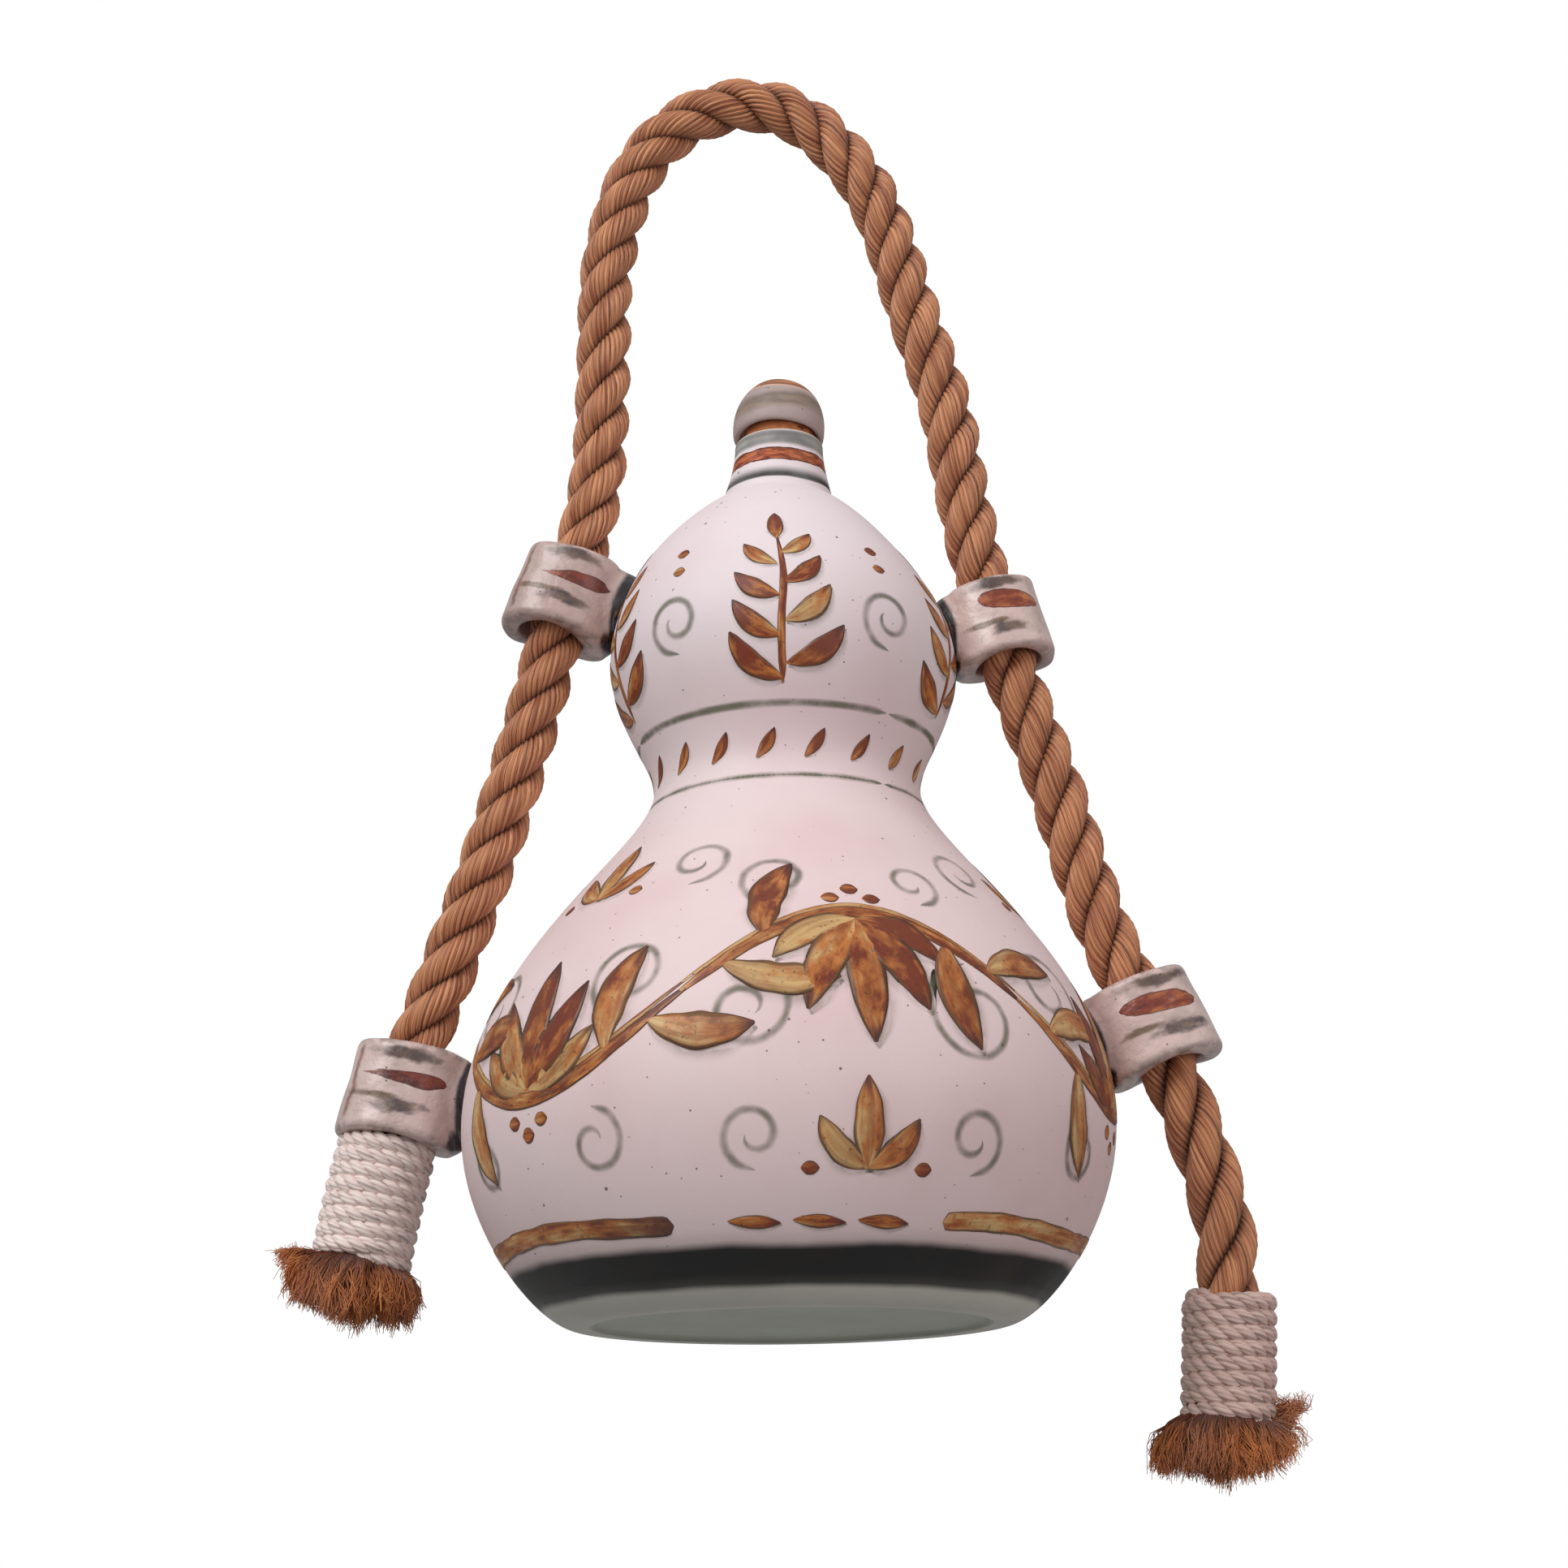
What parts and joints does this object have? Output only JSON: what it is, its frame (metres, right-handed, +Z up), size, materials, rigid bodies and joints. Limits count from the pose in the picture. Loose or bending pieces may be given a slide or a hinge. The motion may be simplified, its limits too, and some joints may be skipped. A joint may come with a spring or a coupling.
{
  "type": "faience rope-handled flask",
  "caption": "Gourd-shaped glazed faience flask with side lugs, a laid-rope carrying handle and a corked ceramic stopper.",
  "frame": {"origin": "underside of the rope handle's loop, straight above the flask's axis, where a hook or a hand carries it", "axes": "+Z up along the flask's axis, +X towards the lugs on the right as the front is seen, -Y towards the front"},
  "size_m": [0.2296, 0.1532, 0.3732],
  "materials": {
    "body_glaze": "satin white tin glaze with fine specks",
    "lug_glaze": "brushed grey and brown under glaze",
    "knob_glaze": "smudged grey glaze with a brown crown",
    "cork": "natural cork",
    "rope": "golden brown laid rope",
    "cotton": "twisted white cotton cord",
    "fibre": "loose frayed fibres"
  },
  "bodies": {
    "rope_loop": {"rope_handle_loop": "rope"},
    "flask": {"flask_body": "body_glaze", "upper_left_lug": "lug_glaze", "upper_right_lug": "lug_glaze", "lower_left_lug": "lug_glaze", "lower_right_lug": "lug_glaze", "rope_left_side": "rope", "rope_right_side": "rope", "left_whipping": "cotton", "left_frayed_end": "fibre"},
    "stopper": {"stopper_cork": "cork", "stopper_knob": "knob_glaze"},
    "right_tail": {"rope_right_tail": "rope", "right_whipping": "cotton", "right_frayed_end": "fibre"}
  },
  "joints": [
    {"name": "loop_swing", "type": "hinge", "parent": "rope_loop", "child": "flask", "pos_m": [0.0004, 0, -0.122], "axis": [0.994, 0, -0.1096], "range_deg": [-60, 60]},
    {"name": "stopper_lift", "type": "slide", "parent": "flask", "child": "stopper", "axis": [0, 0, 1], "range_m": [0, 0.04]},
    {"name": "right_tail_swing", "type": "hinge", "parent": "flask", "child": "right_tail", "pos_m": [0.0939, 0, -0.2679], "axis": [1, 0, 0], "range_deg": [-30, 30]}
  ]
}
